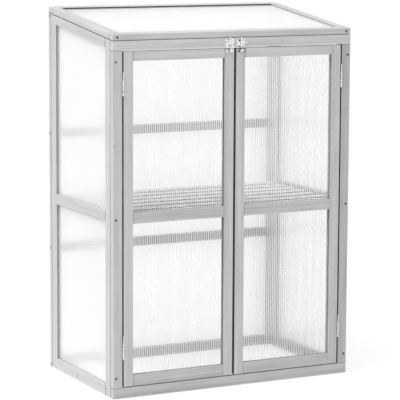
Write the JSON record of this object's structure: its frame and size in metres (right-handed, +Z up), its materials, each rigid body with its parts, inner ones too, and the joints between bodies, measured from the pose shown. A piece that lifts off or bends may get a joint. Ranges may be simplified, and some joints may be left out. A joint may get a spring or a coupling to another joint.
{
  "type": "mini greenhouse",
  "caption": "Grey-stained wooden mini greenhouse with hollow polycarbonate panes, double doors on small bolts, a sloping hinged lid and a lift-out slatted shelf",
  "frame": {"origin": "on the ground under the middle of the cabinet, halfway between its side faces and halfway between its front and back faces", "axes": "+X to the right seen from the front, +Y from the doors to the back, +Z up"},
  "size_m": [0.76, 0.4816, 1.0822],
  "materials": {
    "stained_wood": "light grey stain, matt",
    "shelf_wood": "light grey stain, matt",
    "hollow_sheet": "translucent white hollow polycarbonate with upright flutes",
    "zinc_steel": "bright zinc plate",
    "screws": "dull zinc plate"
  },
  "bodies": {
    "cabinet": {"back_bottom_rail": "stained_wood", "back_left_stile": "stained_wood", "back_lower_rail": "stained_wood", "back_panes": "hollow_sheet", "back_right_stile": "stained_wood", "back_top_rail": "stained_wood", "back_upper_rail": "stained_wood", "bolt_plates": "zinc_steel", "frame_hardware_screws": "screws", "frame_hinge_leaves": "zinc_steel", "frame_screws": "screws", "front_bottom_rail": "stained_wood", "front_left_stile": "stained_wood", "front_right_stile": "stained_wood", "front_top_rail": "stained_wood", "hinge_pins": "zinc_steel", "left_side_bottom_rail": "stained_wood", "left_side_front_stile": "stained_wood", "left_side_mid_rail": "stained_wood", "left_side_panes": "hollow_sheet", "left_side_rear_stile": "stained_wood", "left_side_top_rail": "stained_wood", "lid_hinge_lower_leaves": "zinc_steel", "right_side_bottom_rail": "stained_wood", "right_side_front_stile": "stained_wood", "right_side_mid_rail": "stained_wood", "right_side_panes": "hollow_sheet", "right_side_rear_stile": "stained_wood", "right_side_top_rail": "stained_wood", "shelf_ledgers": "shelf_wood"},
    "left_door": {"left_bolt_keeper": "zinc_steel", "left_door_bottom_rail": "stained_wood", "left_door_hinge_leaves": "zinc_steel", "left_door_hinge_stile": "stained_wood", "left_door_meeting_stile": "stained_wood", "left_door_mid_rail": "stained_wood", "left_door_panes": "hollow_sheet", "left_door_screws": "screws", "left_door_top_rail": "stained_wood"},
    "right_door": {"right_bolt_keeper": "zinc_steel", "right_door_bottom_rail": "stained_wood", "right_door_hinge_leaves": "zinc_steel", "right_door_hinge_stile": "stained_wood", "right_door_meeting_stile": "stained_wood", "right_door_mid_rail": "stained_wood", "right_door_panes": "hollow_sheet", "right_door_screws": "screws", "right_door_top_rail": "stained_wood"},
    "lid": {"lid_back_rail": "stained_wood", "lid_front_rail": "stained_wood", "lid_hinge_screws": "screws", "lid_hinge_upper_leaves": "zinc_steel", "lid_left_rail": "stained_wood", "lid_pane": "hollow_sheet", "lid_right_rail": "stained_wood", "lid_screws": "screws"},
    "left_bolt": {"left_bolt_rod": "zinc_steel"},
    "right_bolt": {"right_bolt_rod": "zinc_steel"},
    "shelf": {"shelf_battens": "shelf_wood", "shelf_slats": "shelf_wood"}
  },
  "joints": [
    {"name": "left_door_swing", "type": "hinge", "parent": "cabinet", "child": "left_door", "pos_m": [-0.3497, -0.2323, 0.505], "axis": [0, 0, -1], "range_deg": [0, 180]},
    {"name": "right_door_swing", "type": "hinge", "parent": "cabinet", "child": "right_door", "pos_m": [0.3497, -0.2323, 0.505], "axis": [0, 0, 1], "range_deg": [0, 180]},
    {"name": "lid_swing", "type": "hinge", "parent": "cabinet", "child": "lid", "pos_m": [0, 0.2323, 1.06444], "axis": [-1, 0, 0], "range_deg": [0, 180]},
    {"name": "left_bolt_slide", "type": "slide", "parent": "cabinet", "child": "left_bolt", "axis": [0, 0, -1], "range_m": [0, 0.006]},
    {"name": "right_bolt_slide", "type": "slide", "parent": "cabinet", "child": "right_bolt", "axis": [0, 0, -1], "range_m": [0, 0.006]},
    {"name": "shelf_lift", "type": "slide", "parent": "cabinet", "child": "shelf", "axis": [0, 0, 1], "range_m": [0, 0.15]}
  ]
}
